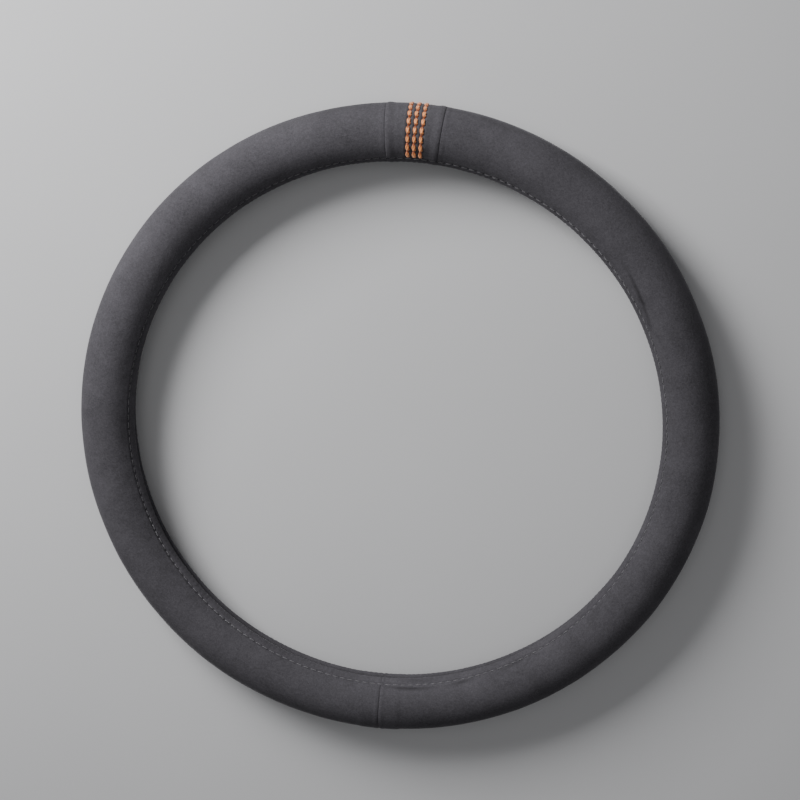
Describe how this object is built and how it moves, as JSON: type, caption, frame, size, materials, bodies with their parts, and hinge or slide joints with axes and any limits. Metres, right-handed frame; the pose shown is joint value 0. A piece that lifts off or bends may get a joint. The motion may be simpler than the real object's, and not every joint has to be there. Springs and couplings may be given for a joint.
{
  "type": "steering wheel cover",
  "caption": "Slip-on steering wheel cover: a suede ring over a C-section rubber channel, with a stitched orange centre marker.",
  "frame": {"origin": "the ring's centre, on the surface that the cover rests on", "axes": "+Z along the ring's axis towards the front face, +Y towards the centre marker at twelve o'clock, +X to the right in the front view"},
  "size_m": [0.38, 0.3812, 0.0344],
  "materials": {
    "suede": "charcoal suede with a fine velvety nap, matte",
    "rubber": "black moulded rubber, satin",
    "orange_thread": "heavy twisted thread, orange",
    "hem_thread": "twisted sewing thread, grey"
  },
  "bodies": {
    "root": {"rubber_liner": "rubber", "suede_panel_left": "suede", "suede_panel_right": "suede", "marker_insert": "suede", "marker_thread_left": "orange_thread", "marker_thread_middle": "orange_thread", "marker_thread_right": "orange_thread", "hem_thread_front": "hem_thread", "hem_thread_back": "hem_thread"}
  },
  "joints": []
}
